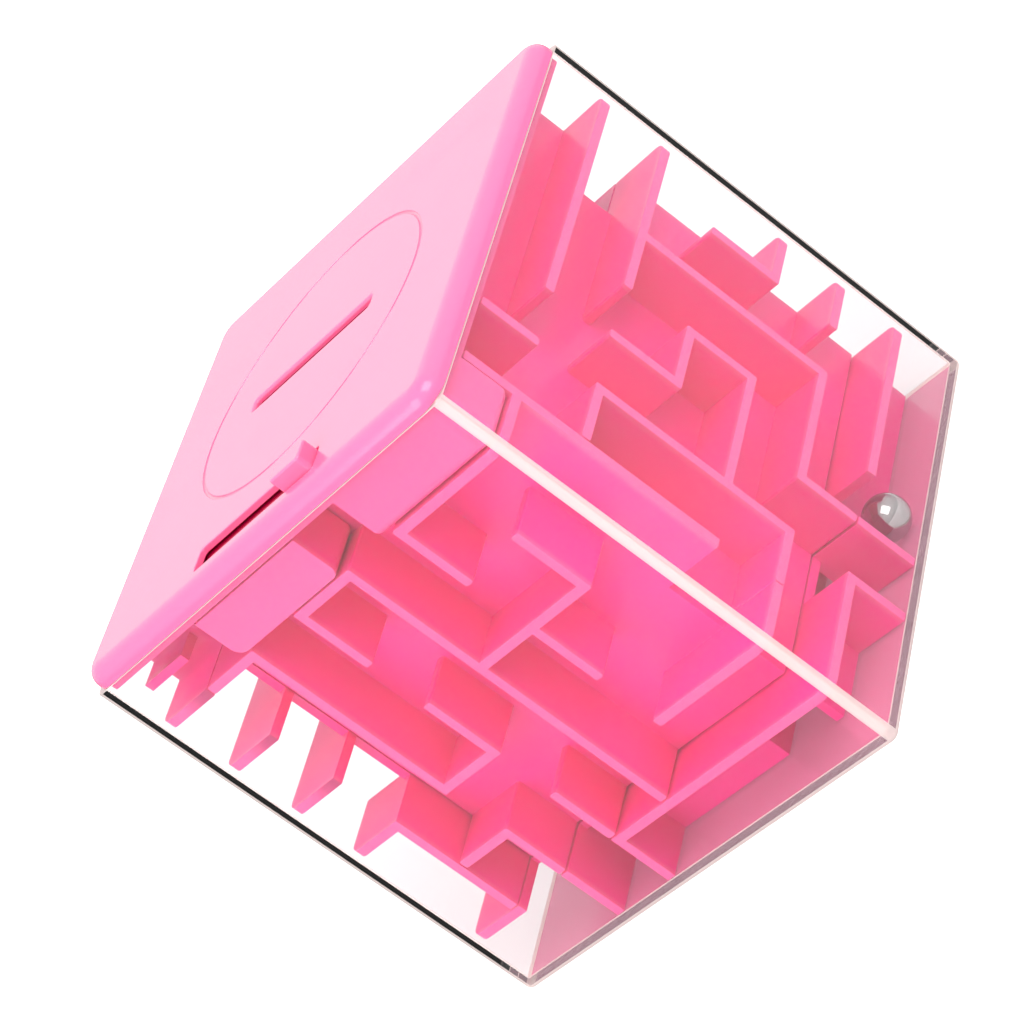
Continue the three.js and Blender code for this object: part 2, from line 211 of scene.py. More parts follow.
def soften(obj: bpy.types.Object, width: float, segments: int) -> None:
    """Breaks every sharp edge with a small rounding and shades the piece smooth.

    Args:
        obj: The object to finish.
        width: The rounding's width, in metres.
        segments: Steps across it.
    """
    modifier = obj.modifiers.new("soften", "BEVEL")
    modifier.width = width
    modifier.segments = segments
    modifier.limit_method = "ANGLE"
    modifier.angle_limit = SMOOTH_ANGLE
    modifier.use_clamp_overlap = True
    focus(obj)
    bpy.ops.object.modifier_apply(modifier=modifier.name)
    shade(obj)


def shade(obj: bpy.types.Object) -> None:
    """Shades an object smooth, with its flats kept flat and its sharp edges sharp."""
    focus(obj)
    bpy.ops.object.shade_smooth_by_angle(angle=SMOOTH_ANGLE)
    modifier = obj.modifiers.new("flats", "WEIGHTED_NORMAL")
    modifier.keep_sharp = True
    modifier.weight = FLAT_WEIGHT
    bpy.ops.object.modifier_apply(modifier=modifier.name)


def remould(node: bpy.types.Object, name: str) -> bpy.types.Object:
    """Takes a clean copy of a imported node, ready for its edges to be finished.

    Args:
        node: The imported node.
        name: The new piece's name.

    Returns:
        A copy with its loose triangles merged and its flat faces whole.
    """
    piece = bpy.data.objects.new(name, node.data.copy())
    piece.data.name = name
    piece.data.materials.clear()
    bpy.context.scene.collection.objects.link(piece)
    focus(piece)
    bpy.ops.object.mode_set(mode="EDIT")
    bpy.ops.mesh.select_all(action="SELECT")
    bpy.ops.mesh.remove_doubles(threshold=MERGE_DISTANCE)
    bpy.ops.mesh.dissolve_limited(angle_limit=FLAT_ANGLE)
    bpy.ops.mesh.normals_make_consistent(inside=False)
    bpy.ops.object.mode_set(mode="OBJECT")
    return piece


# ---------------------------------------------------------------- finishes


class Shader:
    """A material's node tree, with short calls that add nodes and links to it."""

    def __init__(self, name: str) -> None:
        """Starts a material with a Principled shader.

        Args:
            name: The material's name.
        """
        self.material = bpy.data.materials.new(name)
        self.material.use_nodes = True
        self.tree = self.material.node_tree
        self.principled = self.tree.nodes["Principled BSDF"]
        self.output = self.tree.nodes["Material Output"]

    def add(self, kind: str, **settings: object) -> bpy.types.Node:
        """Adds a node and sets what is named."""
        node = self.tree.nodes.new(kind)
        for key, value in settings.items():
            setattr(node, key, value)
        return node

    def effect(self, tree: bpy.types.NodeTree, **inputs: float) -> bpy.types.Node:
        """Places a shared effect with its own values."""
        node = self.add("ShaderNodeGroup", node_tree=tree)
        for key, value in inputs.items():
            node.inputs[key].default_value = value
        return node

    def link(
        self, source: bpy.types.NodeSocket, target: bpy.types.NodeSocket
    ) -> None:
        """Links an output to an input."""
        self.tree.links.new(source, target)

    def bump(self, height: bpy.types.NodeSocket, strength: float) -> None:
        """Raises the surface by a height, in metres at full strength."""
        node = self.add("ShaderNodeBump")
        node.inputs["Strength"].default_value = strength
        node.inputs["Distance"].default_value = MM
        self.link(height, node.inputs["Height"])
        self.link(node.outputs["Normal"], self.principled.inputs["Normal"])

    def two_tone(
        self,
        share: bpy.types.NodeSocket,
        first: tuple[float, float, float],
        second: tuple[float, float, float],
    ) -> bpy.types.NodeSocket:
        """Mixes two colours by a share.

        Args:
            share: 0 for the first colour, 1 for the second.
            first: Linear red, green and blue.
            second: Linear red, green and blue.

        Returns:
            The mixed colour's socket.
        """
        mix = self.add("ShaderNodeMix", data_type="RGBA")
        mix.inputs["A"].default_value = (*first, 1)
        mix.inputs["B"].default_value = (*second, 1)
        self.link(share, mix.inputs["Factor"])
        return mix.outputs["Result"]


def group_tree(
    name: str, inputs: dict[str, float], outputs: list[str]
) -> bpy.types.NodeTree:
    """Starts a shader node group with named number sockets.

    Args:
        name: The group's name.
        inputs: Input names and their defaults.
        outputs: Output names.

    Returns:
        The group, with its input and output nodes placed.
    """
    tree = bpy.data.node_groups.new(name, "ShaderNodeTree")
    for key, value in inputs.items():
        socket = tree.interface.new_socket(
            name=key, in_out="INPUT", socket_type="NodeSocketFloat"
        )
        socket.default_value = value
    for key in outputs:
        tree.interface.new_socket(
            name=key, in_out="OUTPUT", socket_type="NodeSocketFloat"
        )
    tree.nodes.new("NodeGroupInput")
    tree.nodes.new("NodeGroupOutput")
    return tree


class Effects:
    """The shader node groups that several finishes share, each built once."""

    def __init__(self) -> None:
        """Builds every group."""
        self.grain = self._grain()
        # painted light: the mask for the tone painted on the thin rib ends near the
        # case walls
        self.rib_tip_light = self._rib_tip_light()
        self.handling = self._handling()
        # painted shade: the mask for the darker colour painted below the lid's skin
        self.inside = self._recess_shade_mask()

    @staticmethod
    def _grain() -> bpy.types.NodeTree:
        """Makes the fine skin and slow colour drift of a moulding.

        Returns:
            A group with inputs Fineness and Flow, and outputs Height and Drift.
        """
        tree = group_tree(
            "moulded_grain", {"Fineness": 900, "Flow": 45}, ["Height", "Drift"]
        )
        nodes, links = tree.nodes, tree.links
        put, take = nodes["Group Input"], nodes["Group Output"]
        place = nodes.new("ShaderNodeTexCoord")
        for scale, result, detail in (("Fineness", "Height", 3), ("Flow", "Drift", 2)):
            noise = nodes.new("ShaderNodeTexNoise")
            noise.inputs["Detail"].default_value = detail
            noise.inputs["Roughness"].default_value = 0.55
            links.new(place.outputs["Object"], noise.inputs["Vector"])
            links.new(put.outputs[scale], noise.inputs["Scale"])
            links.new(noise.outputs["Fac"], take.inputs[result])
        return tree

    @staticmethod
    def _rib_tip_light() -> bpy.types.NodeTree:
        """Measures how near a point is to the case's walls, where the rib ends are thin
        and a tone is painted in for the light that they catch.

        Returns:
            A group with inputs From and To, in metres out from the centre line, and
            the output Share.
        """
        tree = group_tree("rib_tip_light", {"From": 0.0408, "To": 0.0420}, ["Share"])
        nodes, links = tree.nodes, tree.links
        put, take = nodes["Group Input"], nodes["Group Output"]
        place = nodes.new("ShaderNodeTexCoord")
        split = nodes.new("ShaderNodeSeparateXYZ")
        links.new(place.outputs["Object"], split.inputs[0])
        furthest = nodes.new("ShaderNodeMath")
        furthest.operation = "MAXIMUM"
        for index, axis in enumerate(("X", "Y")):
            size = nodes.new("ShaderNodeMath")
            size.operation = "ABSOLUTE"
            links.new(split.outputs[axis], size.inputs[0])
            links.new(size.outputs[0], furthest.inputs[index])
        ramp = nodes.new("ShaderNodeMapRange")
        ramp.interpolation_type = "SMOOTHSTEP"
        links.new(furthest.outputs[0], ramp.inputs["Value"])
        links.new(put.outputs["From"], ramp.inputs["From Min"])
        links.new(put.outputs["To"], ramp.inputs["From Max"])
        links.new(ramp.outputs["Result"], take.inputs["Share"])
        return tree

    @staticmethod
    def _recess_shade_mask() -> bpy.types.NodeTree:
        """Masks the surfaces below the lid's skin and within its sides, where a darker
        colour is painted in as shade in the slot recess and on the knob's bar.

        Returns:
            A group with inputs Below and Within, in metres, and the output Share.
        """
        tree = group_tree("painted_lid_recess_shade", {"Below": 0.089, "Within": 0.041}, ["Share"])
        nodes, links = tree.nodes, tree.links
        put, take = nodes["Group Input"], nodes["Group Output"]
        place = nodes.new("ShaderNodeTexCoord")
        split = nodes.new("ShaderNodeSeparateXYZ")
        links.new(place.outputs["Object"], split.inputs[0])
        tests = []
        for axis, limit in (("Z", "Below"), ("X", "Within"), ("Y", "Within")):
            size = split.outputs[axis]
            if limit == "Within":
                absolute = nodes.new("ShaderNodeMath")
                absolute.operation = "ABSOLUTE"
                links.new(size, absolute.inputs[0])
                size = absolute.outputs[0]
            less = nodes.new("ShaderNodeMath")
            less.operation = "LESS_THAN"
            links.new(size, less.inputs[0])
            links.new(put.outputs[limit], less.inputs[1])
            tests.append(less.outputs[0])
        share = tests[0]
        for test in tests[1:]:
            both = nodes.new("ShaderNodeMath")
            both.operation = "MULTIPLY"
            links.new(share, both.inputs[0])
            links.new(test, both.inputs[1])
            share = both.outputs[0]
        links.new(share, take.inputs["Share"])
        return tree

    @staticmethod
    def _handling() -> bpy.types.NodeTree:
        """Makes faint smears on a surface that is handled.

        Returns:
            A group with inputs Low and High, and the output Roughness.
        """
        tree = group_tree("handling", {"Low": 0.02, "High": 0.06}, ["Roughness"])
        nodes, links = tree.nodes, tree.links
        put, take = nodes["Group Input"], nodes["Group Output"]
        place = nodes.new("ShaderNodeTexCoord")
        smear = nodes.new("ShaderNodeTexNoise")
        smear.inputs["Scale"].default_value = 70
        smear.inputs["Detail"].default_value = 4
        smear.inputs["Distortion"].default_value = 1.2
        links.new(place.outputs["Object"], smear.inputs["Vector"])
        spread = nodes.new("ShaderNodeMapRange")
        spread.inputs["From Min"].default_value = 0.45
        spread.inputs["From Max"].default_value = 0.72
        links.new(smear.outputs["Fac"], spread.inputs["Value"])
        links.new(put.outputs["Low"], spread.inputs["To Min"])
        links.new(put.outputs["High"], spread.inputs["To Max"])
        links.new(spread.outputs["Result"], take.inputs["Roughness"])
        return tree


@dataclass(frozen=True)
class MouldedPlastic:
    """An opaque gloss moulding; near the case walls a painted light tone makes its thin
    rib ends paler than its body, and an optional painted shade darkens surfaces below
    the lid's skin.
    """

    name: str
    body: tuple[float, float, float]
    drift: tuple[float, float, float]
    # painted light: the colour of the thin rib ends near the case walls, standing for
    # the light they catch
    tip_light: tuple[float, float, float]
    tip_light_share: float
    roughness: float
    glow: float
    coat: float
    # painted shade: the darker colour painted below the lid's skin, in the slot recess
    # and on the knob's bar
    painted_recess_shade: tuple[float, float, float] | None = None
    smear: float = 0.07
    grain: float = 0.02

    def material(self, effects: Effects) -> bpy.types.Material:
        """Builds the material.

        Args:
            effects: The shared node groups.

        Returns:
            The finished material.
        """
        shader = Shader(self.name)
        grain = shader.effect(effects.grain)
        # painted light: the mask that mixes in the rib ends' lit tone by nearness to
        # the case walls
        tip_light = shader.effect(effects.rib_tip_light)
        handling = shader.effect(
            effects.handling, Low=self.roughness, High=self.roughness + self.smear
        )
        plain = shader.two_tone(grain.outputs["Drift"], self.body, self.drift)
        # mixes the painted light tone of the rib ends into the body colour
        pale = shader.add("ShaderNodeMix", data_type="RGBA")
        pale.inputs["B"].default_value = (*self.tip_light, 1)
        share = shader.add("ShaderNodeMath", operation="MULTIPLY")
        share.inputs[1].default_value = self.tip_light_share
        shader.link(tip_light.outputs["Share"], share.inputs[0])
        shader.link(share.outputs[0], pale.inputs["Factor"])
        shader.link(plain, pale.inputs["A"])
        sockets = shader.principled.inputs
        colour = pale.outputs["Result"]
        # Painted shade: surfaces below the lid's skin take a darker colour, as if
        # shadowed in the recess.
        if self.painted_recess_shade is not None:
            inside = shader.effect(effects.inside)
            shade = shader.add("ShaderNodeMix", data_type="RGBA")
            shade.inputs["B"].default_value = (*self.painted_recess_shade, 1)
            shader.link(inside.outputs["Share"], shade.inputs["Factor"])
            shader.link(colour, shade.inputs["A"])
            colour = shade.outputs["Result"]
        shader.link(colour, sockets["Base Color"])
        shader.link(handling.outputs["Roughness"], sockets["Roughness"])
        sockets["IOR"].default_value = 1.46
        sockets["Coat Weight"].default_value = self.coat
        sockets["Coat Roughness"].default_value = 0.12
        sockets["Subsurface Weight"].default_value = self.glow
        sockets["Subsurface Radius"].default_value = (1.0, 0.25, 0.45)
        sockets["Subsurface Scale"].default_value = 1.2 * MM
        shader.bump(grain.outputs["Height"], self.grain)
        return shader.material


@dataclass(frozen=True)
class ClearPlastic:
    """A polished clear moulding that lets lamps through."""

    name: str
    tint: tuple[float, float, float]
    shadow: tuple[float, float, float]
    roughness: float
    clarity: float
    # emission strength: a painted glow, as on the case's edges
    glow: float = 0.0
    smear: float = 0.022

    def material(self, effects: Effects) -> bpy.types.Material:
        """Builds the material.

        Args:
            effects: The shared node groups.

        Returns:
            The finished material.
        """
        shader = Shader(self.name)
        handling = shader.effect(
            effects.handling, Low=self.roughness, High=self.roughness + self.smear
        )
        sockets = shader.principled.inputs
        sockets["Base Color"].default_value = (*self.tint, 1)
        sockets["Transmission Weight"].default_value = self.clarity
        sockets["IOR"].default_value = 1.5
        # painted light: the emission makes the surface glow though it is no lamp
        sockets["Emission Color"].default_value = (*self.tint, 1)
        sockets["Emission Strength"].default_value = self.glow
        shader.link(handling.outputs["Roughness"], sockets["Roughness"])
        clear = shader.add("ShaderNodeBsdfTransparent")
        clear.inputs["Color"].default_value = (*self.shadow, 1)
        rays = shader.add("ShaderNodeLightPath")
        mix = shader.add("ShaderNodeMixShader")
        shader.link(rays.outputs["Is Shadow Ray"], mix.inputs[0])
        shader.link(shader.principled.outputs[0], mix.inputs[1])
        shader.link(clear.outputs[0], mix.inputs[2])
        shader.link(mix.outputs[0], shader.output.inputs["Surface"])
        return shader.material


@dataclass(frozen=True)
class Steel:
    """Bare steel, polished or plated."""

    name: str
    colour: tuple[float, float, float]
    worn: tuple[float, float, float]
    roughness: float
    smear: float = 0.08
    grain: float = 0.004

    def material(self, effects: Effects) -> bpy.types.Material:
        """Builds the material.

        Args:
            effects: The shared node groups.

        Returns:
            The finished material.
        """
        shader = Shader(self.name)
        grain = shader.effect(effects.grain, Fineness=1800, Flow=220)
        handling = shader.effect(
            effects.handling, Low=self.roughness, High=self.roughness + self.smear
        )
        sockets = shader.principled.inputs
        colour = shader.two_tone(grain.outputs["Drift"], self.colour, self.worn)
        shader.link(colour, sockets["Base Color"])
        shader.link(handling.outputs["Roughness"], sockets["Roughness"])
        sockets["Metallic"].default_value = 1
        shader.bump(grain.outputs["Height"], self.grain)
        return shader.material


MAZE_PINK = MouldedPlastic(
    name="maze_pink",
    body=(0.98, 0.020, 0.290),
    drift=(0.98, 0.026, 0.305),
    # painted light: paler rib ends near the case walls
    tip_light=(0.98, 0.125, 0.35),
    tip_light_share=0.72,
    roughness=0.30,
    glow=0.2,
    coat=0.0,
)
LID_PINK = MouldedPlastic(
    name="lid_pink",
    body=(0.96, 0.140, 0.315),
    drift=(0.96, 0.150, 0.33),
    # painted shade: a slightly deeper pink on the outer rim, where it shows less sheen
    tip_light=(0.96, 0.125, 0.32),
    tip_light_share=0.5,
    roughness=0.20,
    glow=0.15,
    coat=0.6,
    # painted shade for the slot recess and the knob's bar
    painted_recess_shade=(0.36, 0.0, 0.03),
)
CASE_CLEAR = ClearPlastic(
    name="case_clear",
    tint=(0.955, 0.932, 0.934),
    shadow=(0.96, 0.95, 0.95),
    roughness=0.008,
    clarity=1.0,
)
# painted light: a grey-brown tone and an emitted glow on the case's rounded edges and
# rim stand for the light and dark refraction lines there
CASE_EDGE_GLOW = ClearPlastic(
    name="case_edge_glow",
    tint=(0.72, 0.61, 0.58),
    shadow=(0.96, 0.94, 0.93),
    roughness=0.32,
    clarity=0.55,
    glow=0.2,
)
# painted light: a pink tint on the clear bottom wall stands for pink light from the
# maze reflected and bounced through it
CASE_BASE_PINK_LIGHT = ClearPlastic(
    name="case_base_pink_light",
    tint=(1.0, 0.28, 0.50),
    shadow=(0.95, 0.88, 0.90),
    roughness=0.22,
    clarity=0.78,
)
BALL_STEEL = Steel(
    name="ball_steel",
    colour=(0.46, 0.45, 0.45),
    worn=(0.40, 0.39, 0.39),
    roughness=0.04,
)
SCREW_STEEL = Steel(
    name="screw_steel",
    colour=(0.62, 0.62, 0.64),
    worn=(0.52, 0.52, 0.54),
    roughness=0.26,
)


# ---------------------------------------------------------------- the object


@dataclass
class Workshop:
    """What every sub-assembly needs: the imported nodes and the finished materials."""

    nodes: dict[str, bpy.types.Object]
    finishes: dict[Slot, bpy.types.Material] = field(default_factory=dict)
    # edge: the case's edge finish, with painted glow and painted grey-brown shade
    edge: bpy.types.Material | None = None
    # base: the case's bottom finish, tinted pink as painted reflected light
    base: bpy.types.Material | None = None

    def prepare(self) -> None:
        """Builds the shared effects and each slot's material."""
        effects = Effects()
        for slot, finish in (
            (Slot.CLEAR, CASE_CLEAR),
            (Slot.MAZE, MAZE_PINK),
            (Slot.LID, LID_PINK),
            (Slot.BALL, BALL_STEEL),
            (Slot.SCREW, SCREW_STEEL),
        ):
            self.finishes[slot] = finish.material(effects)
        # the case's edge finish paints in a glow and a grey-brown shade
        self.edge = CASE_EDGE_GLOW.material(effects)
        # the case's bottom finish paints in pink reflected light
        self.base = CASE_BASE_PINK_LIGHT.material(effects)

    def dress(
        self, piece: bpy.types.Object, slot: Slot, body: Body, node: str
    ) -> None:
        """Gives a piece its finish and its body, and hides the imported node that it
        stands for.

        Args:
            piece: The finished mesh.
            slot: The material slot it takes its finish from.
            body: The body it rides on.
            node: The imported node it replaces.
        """
        piece.data.materials.clear()
        piece.data.materials.append(self.finishes[slot])
        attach(piece, body.value)
        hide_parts(node)
        log.info("%s: %d faces", piece.name, len(piece.data.polygons))

    def fit_screws(self, kind: str, body: Body) -> None:
        """Finishes every screw of a kind.

        Args:
            kind: What the screws' nodes are called, before their numbers.
            body: The body they ride on.
        """
        for node in sorted(self.nodes):
            if node.startswith(kind):
                screw = remould(self.nodes[node], node.replace("screw", "fixing"))
                soften(screw, FIXING_EDGE, 2)
                self.dress(screw, Slot.SCREW, body, node)


@dataclass
class ClearCase:
    """The open-topped clear case."""

    shop: Workshop
    wall: float = 1.6 * MM
    corner_radius: float = 1.5 * MM
    base_radius: float = 1.0 * MM
    inner_radius: float = 0.5 * MM
    floor_radius: float = 0.4 * MM
    rim_radius: float = 0.2 * MM
    flat_normal: float = 0.998

    def build(self) -> None:
        """Models the case from a block and a smaller block cut out of it."""
        low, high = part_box("clear_case")
        shell = add_block("case_shell", low, high)
        bevel_edges(shell, lambda e: along(e, UPRIGHT), self.corner_radius, 6)
        bevel_edges(shell, lambda e: at_height(e, low.z), self.base_radius, 5)
        step = Vector((self.wall, self.wall, self.wall))
        top = Vector((high.x - self.wall, high.y - self.wall, high.z + self.wall))
        hollow = add_block("case_hollow", low + step, top)
        bevel_edges(hollow, lambda e: along(e, UPRIGHT), self.inner_radius, 4)
        floor = low.z + self.wall
        bevel_edges(hollow, lambda e: at_height(e, floor), self.floor_radius, 3)
        carve(shell, hollow)
        bevel_edges(shell, lambda e: at_height(e, high.z), self.rim_radius, 2)
        shade(shell)
        self.shop.dress(shell, Slot.CLEAR, Body.CASE, "clear_case")
        self._paint_edge_and_base_light(shell, high.z - self.rim_radius, floor)

    def _paint_edge_and_base_light(
        self, shell: bpy.types.Object, rim: float, floor: float
    ) -> None:
        """Gives the rounded edges and rim a finish of their own, which paints in light
        with a glow and a grey-brown shade, and the bottom wall one tinted pink as
        painted reflected light.

        Args:
            shell: The case.
            rim: The height above which everything is rim, in metres.
            floor: The height of the case's inner floor, in metres.
        """
        edge, base = 1, 2
        shell.data.materials.append(self.shop.edge)
        shell.data.materials.append(self.shop.base)
        for face in shell.data.polygons:
            tilted = max(abs(part) for part in face.normal) < self.flat_normal
            if tilted or face.center.z > rim:
                face.material_index = edge
            elif face.center.z < floor + NEAR:
                face.material_index = base


@dataclass
class MoneyBox:
    """The four ribbed side panels and the ribbed bottom panel."""

    shop: Workshop
    rib_end_radius: float = 0.4 * MM
    edge_radius: float = 0.12 * MM
    least_rib: float = 5 * MM
    least_step: float = 0.5 * MM

    def build(self) -> None:
        """Rounds the edges of the front, right and bottom panels only.

        The walls of the other two are cut up by their ribs in a way that a rounding
        folds over itself, so those keep plain edges.
        """
        outward = {"front": Vector((0, 1, 0)), "right": Vector((1, 0, 0))}
        for side in ("front", "right", "back", "left", "bottom"):
            node = f"{side}_maze_panel"
            panel = remould(self.shop.nodes[node], f"{side}_ribbed_panel")
            if side in outward:
                self._round_rib_ends(panel, outward[side])
            if side in ("back", "left"):
                shade(panel)
            else:
                soften(panel, self.edge_radius, 2)
            self.shop.dress(panel, Slot.MAZE, Body.CASE, node)

    def _round_rib_ends(self, panel: bpy.types.Object, outward: Vector) -> None:
        """Rounds the edges that run up the ribs, at their ends and their bends.

        Args:
            panel: The panel.
            outward: The axis that its ribs stand out along.
        """

        def up_a_rib(edge: bmesh.types.BMEdge) -> bool:
            """Says whether an edge is a long outside edge of a rib, clear of curves."""
            beside = [other for vert in edge.verts for other in vert.link_edges]
            return (
                edge.calc_length() > self.least_rib
                and along(edge, outward)
                and is_corner(edge)
                and edge.is_convex
                and all(other.calc_length() > self.least_step for other in beside)
            )

        bevel_edges(panel, up_a_rib, self.rib_end_radius, 3)


@dataclass
class Lid:
    """The slotted cover, its under-frame and the screws between them."""

    shop: Workshop
    joints: list[dict]
    corner_radius: float = 4.2 * MM
    edge_radius: float = 2.8 * MM
    skin: float = 1.1 * MM
    coin_slot: tuple[float, float] = (32.5 * MM, 4.4 * MM)
    ring_radius: float = 26.9 * MM
    ring_groove: float = 0.36 * MM
    slot_lip: float = 0.7 * MM
    slot_corner: float = 0.6 * MM
    latch_lip: float = 0.2 * MM
    clearance: float = 0.3 * MM
    bar_overlap: float = 1.6 * MM
    slot_past_travel: float = 9.2 * MM
    seam: float = 0.22 * MM
    base_edge: float = 0.16 * MM
    cut_depth: float = 20 * MM

    def build(self) -> None:
        """Models the cover and finishes the under-frame and its screws."""
        self._cover()
        base = remould(self.shop.nodes["lid_base"], "lid_under_frame")
        soften(base, self.base_edge, 2)
        self.shop.dress(base, Slot.MAZE, Body.LID, "lid_base")
        self.shop.fit_screws("lid_screw", Body.LID)

    def _cover(self) -> None:
        """Rounds a block into the cover and cuts its slots, recess and ring."""
        low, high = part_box("lid_cover")
        seat = Vector((0, 0, self.seam))
        cover = add_block("lid_plate", low - seat, high)
        bevel_edges(cover, lambda e: along(e, UPRIGHT), self.corner_radius, 10)
        bevel_edges(cover, lambda e: at_height(e, high.z), self.edge_radius, 9)
        for cutter in self._cutters(high.z):
            carve(cover, cutter)
        length, width = self.coin_slot
        half = Vector((length / 2, width / 2, 0))
        self._round_rim(cover, (-half, half), high.z, self.slot_lip, 4)
        self._round_rim(cover, self._latch_slot(), high.z, self.latch_lip, 3)
        shade(cover)
        # the lid finish paints shade on the slot walls and recess below the cover's
        # skin
        self.shop.dress(cover, Slot.LID, Body.LID, "lid_cover")

    def _latch_slot(self) -> tuple[Vector, Vector]:
        """Works out the latch slot from the knob's bar and the latch's travel."""
        low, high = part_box("latch_knob")
        right = high.x - self.bar_overlap
        left = right - self._travel() - self.slot_past_travel
        return (
            Vector((left, low.y + self.bar_overlap, 0)),
            Vector((right, high.y - self.bar_overlap, 0)),
        )

    def _travel(self) -> float:
        """Reads how far the latch slides, in metres."""
        latch = next(j for j in self.joints if j["name"] == "latch_slide")
        return latch["range_m"][1]

    def _cutters(self, top: float) -> list[bpy.types.Object]:
        """Makes the shapes that are cut out of the cover.

        Args:
            top: The cover's top.

        Returns:
            The cutters, each ready to carve with.
        """
        length, width = self.coin_slot
        lip = Vector((self.slot_lip, self.slot_lip, 0))
        half = Vector((length / 2, width / 2, self.cut_depth)) - lip
        middle = Vector((0, 0, top))
        coin = add_block("coin_cutter", middle - half, middle + half)
        bevel_edges(coin, lambda e: along(e, UPRIGHT), self.slot_corner, 4)
        low, high = self._latch_slot()
        bottom = top - self.cut_depth
        latch = add_block(
            "latch_cutter",
            Vector((low.x, low.y, bottom)),
            Vector((high.x, high.y, top + self.cut_depth)),
        )
        bevel_edges(latch, lambda e: along(e, UPRIGHT), self.slot_corner, 3)
        bar_low, bar_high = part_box("latch_knob")
        gap = self.clearance
        left = bar_low.x - self._travel() - gap
        recess = add_block(
            "recess_cutter",
            Vector((left, bar_low.y - gap, bottom)),
            Vector((bar_high.x + gap, bar_high.y + gap, top - self.skin)),
        )
        object_mode()
        bpy.ops.object.select_all(action="DESELECT")
        bpy.ops.mesh.primitive_torus_add(
            location=(0, 0, top),
            major_radius=self.ring_radius,
            minor_radius=self.ring_groove,
            major_segments=144,
            minor_segments=12,
        )
        ring = bpy.context.object
        settle(ring)
        return [coin, latch, recess, ring]

    @staticmethod
    def _round_rim(
        cover: bpy.types.Object,
        opening: tuple[Vector, Vector],
        top: float,
        width: float,
        segments: int,
    ) -> None:
        """Rounds the rim of an opening on the cover's top.

        Args:
            cover: The cover.
            opening: The lowest and highest corner of what holds the whole rim.
            top: The cover's top.
            width: The radius, in metres.
            segments: Steps across the rounding.
        """
        low, high = opening

        def on_rim(edge: bmesh.types.BMEdge) -> bool:
            """Says whether an edge is part of the rim."""
            inside = all(
                low.x - NEAR < vert.co.x < high.x + NEAR
                and low.y - NEAR < vert.co.y < high.y + NEAR
                for vert in edge.verts
            )
            return inside and at_height(edge, top) and is_corner(edge)

        bevel_edges(cover, on_rim, width, segments)


@dataclass
class Latch:
    """The sliding knob, the bolt block under it and the screws that join them."""

    shop: Workshop
    knob_radius: float = 0.4 * MM
    edge_radius: float = 0.14 * MM

    def build(self) -> None:
        """Finishes the knob, the bolt and their screws."""
        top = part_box("latch_knob")[1].z
        knob = remould(self.shop.nodes["latch_knob"], "latch_slider")
        bevel_edges(
            knob,
            lambda e: at_height(e, top) and is_corner(e),
            self.knob_radius,
            4,
        )
        soften(knob, self.edge_radius, 2)
        # the knob's bar, below the lid's skin, takes the lid finish's painted shade
        self.shop.dress(knob, Slot.LID, Body.LATCH, "latch_knob")
        bolt = remould(self.shop.nodes["latch_bolt"], "latch_block")
        soften(bolt, self.edge_radius, 2)
        self.shop.dress(bolt, Slot.MAZE, Body.LATCH, "latch_bolt")
        self.shop.fit_screws("latch_screw", Body.LATCH)


@dataclass
class Ball:
    """The steel ball."""

    shop: Workshop
    cuts: int = 23

    def build(self) -> None:
        """Rounds a divided block into a ball and sizes it to its place."""
        low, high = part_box("steel_ball")
        ball = add_block("polished_ball", low, high)
        bpy.ops.object.mode_set(mode="EDIT")
        bpy.ops.mesh.select_all(action="SELECT")
        bpy.ops.mesh.subdivide(number_cuts=self.cuts)
        bpy.ops.object.mode_set(mode="OBJECT")
        centre, radius = (low + high) / 2, (high.z - low.z) / 2
        for vert in ball.data.vertices:
            vert.co = centre + (vert.co - centre).normalized() * radius
        focus(ball)
        bpy.ops.object.shade_smooth()
        self.shop.dress(ball, Slot.BALL, Body.BALL, "steel_ball")


# ---------------------------------------------------------------- the studio


@dataclass(frozen=True)
class StudioLamp:
    """A soft square lamp that looks at the object."""

    name: str
    azimuth: float
    elevation: float
    distance: float
    size: float
    power: float

    def place(self, aim: Vector) -> None:
        """Adds the lamp.

        Args:
            aim: The point that it shines at, in metres.
        """
        data = bpy.data.lights.new(self.name, "AREA")
        data.size = self.size
        data.energy = self.power
        lamp = bpy.data.objects.new(self.name, data)
        bpy.context.scene.collection.objects.link(lamp)
        away = direction(self.azimuth, self.elevation)
        lamp.location = aim + away * self.distance
        lamp.rotation_mode = "QUATERNION"
        lamp.rotation_quaternion = away.to_track_quat("Z", "Y")


def direction(azimuth: float, elevation: float) -> Vector:
    """Works out the direction to a viewpoint round the object.

    Args:
        azimuth: Degrees round from the front, towards the right face.
        elevation: Degrees above the horizon.

    Returns:
        A unit vector from the object to the viewpoint.
    """
    turn, rise = math.radians(azimuth), math.radians(elevation)
    return Vector(
        (
            math.sin(turn) * math.cos(rise),
            -math.cos(turn) * math.cos(rise),
            math.sin(rise),
        )
    )


